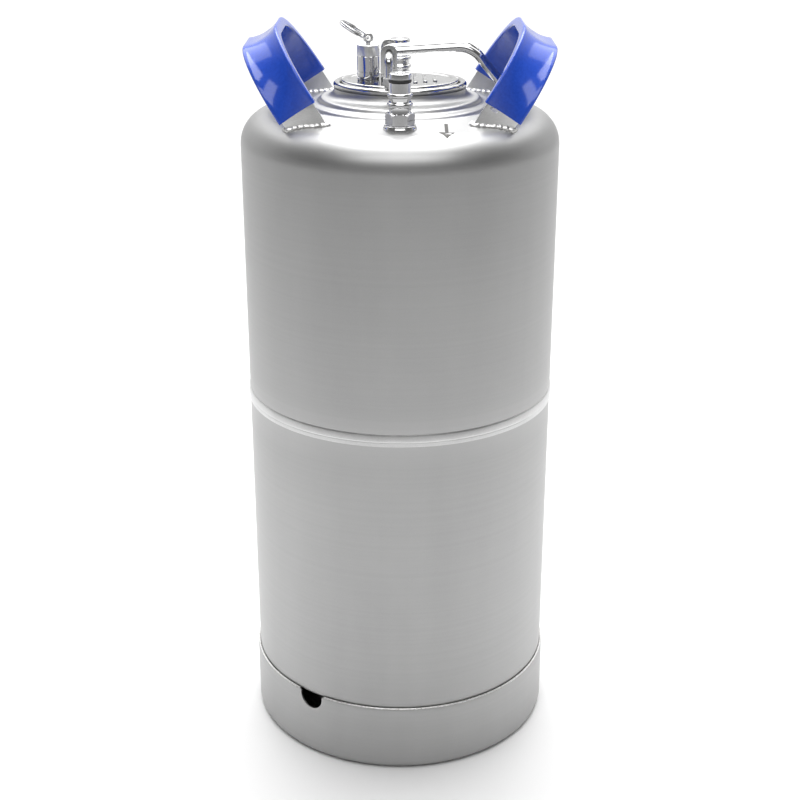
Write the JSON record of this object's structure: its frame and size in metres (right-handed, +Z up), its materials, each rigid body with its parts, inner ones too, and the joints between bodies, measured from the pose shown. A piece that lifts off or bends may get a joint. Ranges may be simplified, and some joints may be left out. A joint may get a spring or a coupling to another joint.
{
  "type": "beer keg",
  "caption": "Tall stainless beverage keg with an oval bail-locked lid, gas and liquid quick-connect posts, a relief valve with a pull ring and blue-sleeved carrying handles.",
  "frame": {"origin": "centre of the ring that the keg stands on, on the floor", "axes": "+Z up; the handles are at +X and -X; the liquid post is at -Y, which is the front, and the gas post at +Y"},
  "size_m": [0.3002, 0.3002, 0.7037],
  "materials": {
    "satin_steel": "satin bead-blasted stainless",
    "weld_band": "ground weld band",
    "bare_strap": "pickled stainless",
    "weld_bead": "lumpy welded stainless",
    "polished_steel": "polished stainless",
    "chrome": "bright plated",
    "ring_wire": "bright wire",
    "spring_steel": "drawn wire",
    "satin_cap": "matt white satin",
    "blue_vinyl": "glossy dipped vinyl",
    "clear_grey_vinyl": "soft pale cap",
    "black_rubber": "matt rubber"
  },
  "bodies": {
    "keg": {"upper_shell": "satin_steel", "lower_shell": "satin_steel", "waist_band": "weld_band", "mouth_neck": "satin_steel", "mouth_rim": "polished_steel", "base_skirt": "satin_steel", "skirt_weld": "weld_band", "left_handle_strap": "bare_strap", "right_handle_strap": "bare_strap", "left_handle_sleeve": "blue_vinyl", "right_handle_sleeve": "blue_vinyl", "handle_welds": "weld_bead", "gas_boss": "bare_strap", "liquid_boss": "bare_strap", "gas_post_body": "chrome", "liquid_post_body": "chrome", "gas_post_oring": "black_rubber", "liquid_post_oring": "black_rubber", "gas_poppet_spring": "spring_steel", "liquid_poppet_spring": "spring_steel", "gas_dip_tube": "polished_steel", "liquid_dip_tube": "polished_steel", "gas_dip_tube_seal": "black_rubber", "liquid_dip_tube_seal": "black_rubber"},
    "lid": {"lid_plate": "polished_steel", "lid_seal": "black_rubber", "bail_bracket": "polished_steel", "relief_valve_body": "chrome", "relief_valve_cap": "satin_cap", "relief_valve_nut": "polished_steel", "relief_valve_spring": "spring_steel"},
    "bail": {"bail_handle": "chrome", "bail_feet": "clear_grey_vinyl"},
    "valve_stem": {"relief_valve_stem": "polished_steel", "relief_valve_seal": "black_rubber"},
    "pull_ring": {"relief_pull_ring": "ring_wire"},
    "gas_poppet": {"gas_poppet": "polished_steel"},
    "liquid_poppet": {"liquid_poppet": "polished_steel"}
  },
  "joints": [
    {"name": "lid_drop", "type": "slide", "parent": "keg", "child": "lid", "axis": [0, 0, -1], "range_m": [0, 0.0055]},
    {"name": "bail_hinge", "type": "hinge", "parent": "lid", "child": "bail", "pos_m": [-0.01, 0, 0.677], "axis": [0, -1, 0], "range_deg": [0, 100]},
    {"name": "relief_pull", "type": "slide", "parent": "lid", "child": "valve_stem", "axis": [0, 0, 1], "range_m": [0, 0.003], "stiffness_N_per_m": 1500, "springref_m": -0.003, "deforming": ["relief_valve_spring"]},
    {"name": "pull_ring_swing", "type": "hinge", "parent": "valve_stem", "child": "pull_ring", "pos_m": [-0.029, 0, 0.688], "axis": [0, 1, 0], "range_deg": [-35, 60]},
    {"name": "gas_poppet_press", "type": "slide", "parent": "keg", "child": "gas_poppet", "axis": [0, 0, -1], "range_m": [0, 0.0035], "stiffness_N_per_m": 700, "springref_m": -0.004, "deforming": ["gas_poppet_spring"]},
    {"name": "liquid_poppet_press", "type": "slide", "parent": "keg", "child": "liquid_poppet", "axis": [0, 0, -1], "range_m": [0, 0.0035], "stiffness_N_per_m": 700, "springref_m": -0.004, "deforming": ["liquid_poppet_spring"]}
  ],
  "couplings": [
    {"joint": "lid_drop", "follows": "bail_hinge", "m_per_rad": 0.003}
  ]
}
